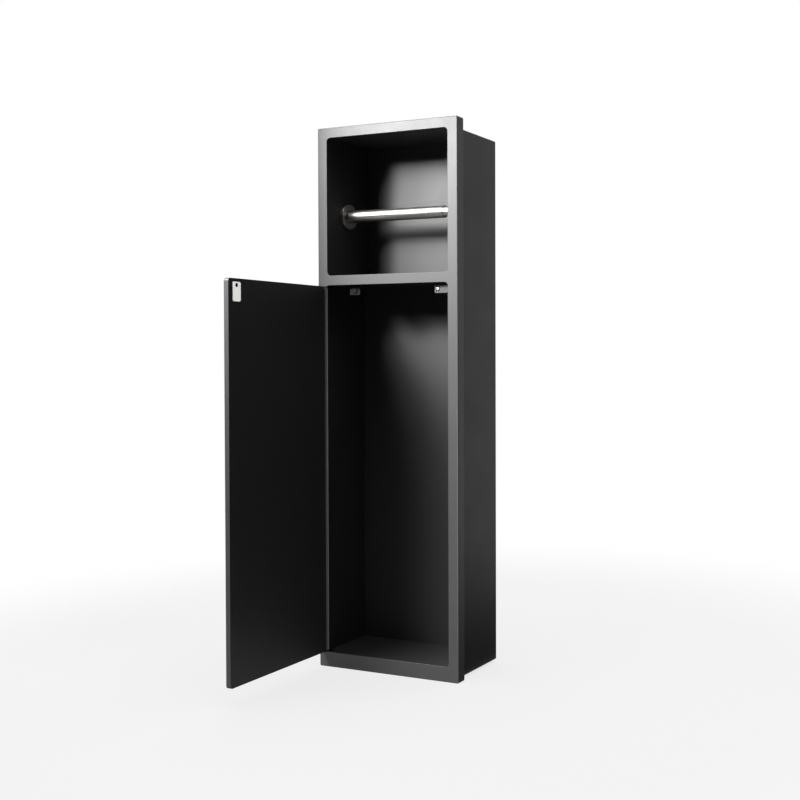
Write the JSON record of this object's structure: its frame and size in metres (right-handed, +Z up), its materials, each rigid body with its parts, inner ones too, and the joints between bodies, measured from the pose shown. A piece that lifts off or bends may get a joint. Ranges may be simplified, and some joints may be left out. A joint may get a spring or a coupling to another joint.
{
  "type": "toilet roll storage cabinet",
  "caption": "Recessed black steel toilet roll cabinet: open niche with a roll bar above a tall cupboard whose inset door stands open to the left.",
  "frame": {"origin": "on the wall plane, at the middle of the bottom edge of the front frame", "axes": "X across the width to the right, Y into the wall, Z up"},
  "size_m": [0.238, 0.3294, 0.8],
  "materials": {
    "black_powder_coat": "satin black powder coat, fine texture",
    "brushed_stainless": "brushed stainless steel",
    "zinc_steel": "bright zinc plate",
    "black_zinc": "black zinc plate",
    "black_nylon": "moulded, matt",
    "black_rubber": "soft, matt",
    "fibreboard": "unfinished board, hidden in the door"
  },
  "bodies": {
    "cabinet": {"front_frame": "black_powder_coat", "outer_shell": "black_powder_coat", "back_panel": "black_powder_coat", "niche_liner": "black_powder_coat", "divider_pan": "black_powder_coat", "floor_tray": "black_powder_coat", "rear_rail_top": "black_powder_coat", "rear_rail_bottom": "black_powder_coat", "pivot_bush_top": "zinc_steel", "pivot_bush_bottom": "zinc_steel", "latch_bracket": "black_powder_coat", "latch_housing": "black_nylon", "latch_screws": "zinc_steel", "stop_bracket": "black_powder_coat", "stop_buffer": "black_rubber", "stop_screw": "zinc_steel", "rosette_left": "brushed_stainless", "rosette_right": "brushed_stainless", "rosette_screws_left": "zinc_steel", "rosette_screws_right": "zinc_steel", "latch_spring": "zinc_steel"},
    "door": {"door_skin": "black_powder_coat", "door_core": "fibreboard", "door_rear_panel": "black_powder_coat", "hinge_block_top": "zinc_steel", "hinge_block_bottom": "zinc_steel", "hinge_leaf_top": "black_zinc", "hinge_leaf_bottom": "black_zinc", "leaf_screws_top": "black_zinc", "leaf_screws_bottom": "black_zinc", "pivot_pin_top": "zinc_steel", "pivot_pin_bottom": "zinc_steel", "strike_plate": "brushed_stainless", "strike_screw": "black_zinc"},
    "bar": {"bar_tube": "brushed_stainless", "bar_plug": "black_nylon", "bar_spring": "zinc_steel"},
    "bar_end": {"bar_inner_tube": "brushed_stainless", "bar_cap": "brushed_stainless"},
    "latch_plunger_body": {"latch_plunger": "zinc_steel"}
  },
  "joints": [
    {"name": "door_hinge", "type": "hinge", "parent": "cabinet", "child": "door", "pos_m": [-0.109, -0.0129, 0.29475], "axis": [0, 0, 1], "range_deg": [-10, 90]},
    {"name": "bar_spin", "type": "hinge", "parent": "cabinet", "child": "bar", "pos_m": [0, 0.035, 0.6745], "axis": [1, 0, 0], "continuous": true},
    {"name": "bar_compress", "type": "slide", "parent": "bar", "child": "bar_end", "axis": [-1, 0, 0], "range_m": [0, 0.008], "stiffness_N_per_m": 300, "deforming": ["bar_spring"]},
    {"name": "plunger_slide", "type": "slide", "parent": "cabinet", "child": "latch_plunger_body", "axis": [0, 1, 0], "range_m": [0, 0.003], "stiffness_N_per_m": 400, "deforming": ["latch_spring"]}
  ]
}
